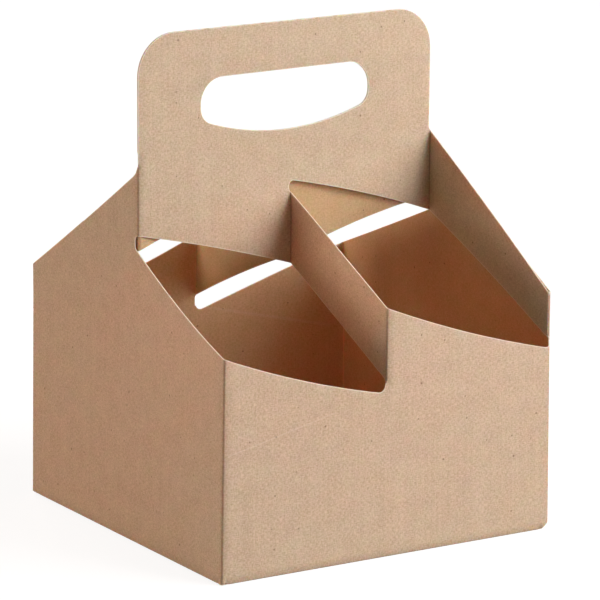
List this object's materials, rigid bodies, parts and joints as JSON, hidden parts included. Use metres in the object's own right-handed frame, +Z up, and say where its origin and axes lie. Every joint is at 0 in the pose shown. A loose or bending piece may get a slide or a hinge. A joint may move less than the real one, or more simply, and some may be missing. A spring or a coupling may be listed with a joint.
{
  "type": "cup carrier",
  "caption": "Folded kraft paperboard carrier for takeaway cups, with a base, crossed dividers and an upright handle with a rounded hand hole.",
  "frame": {"origin": "middle of the base, on the surface the carrier stands on", "axes": "+Z up along the handle, +X to the right along the front wall, +Y to the back"},
  "size_m": [0.178, 0.18, 0.2379],
  "materials": {
    "kraft_board": "uncoated brown kraft paperboard, matt"
  },
  "bodies": {
    "root": {"carrier": "kraft_board"}
  },
  "joints": []
}
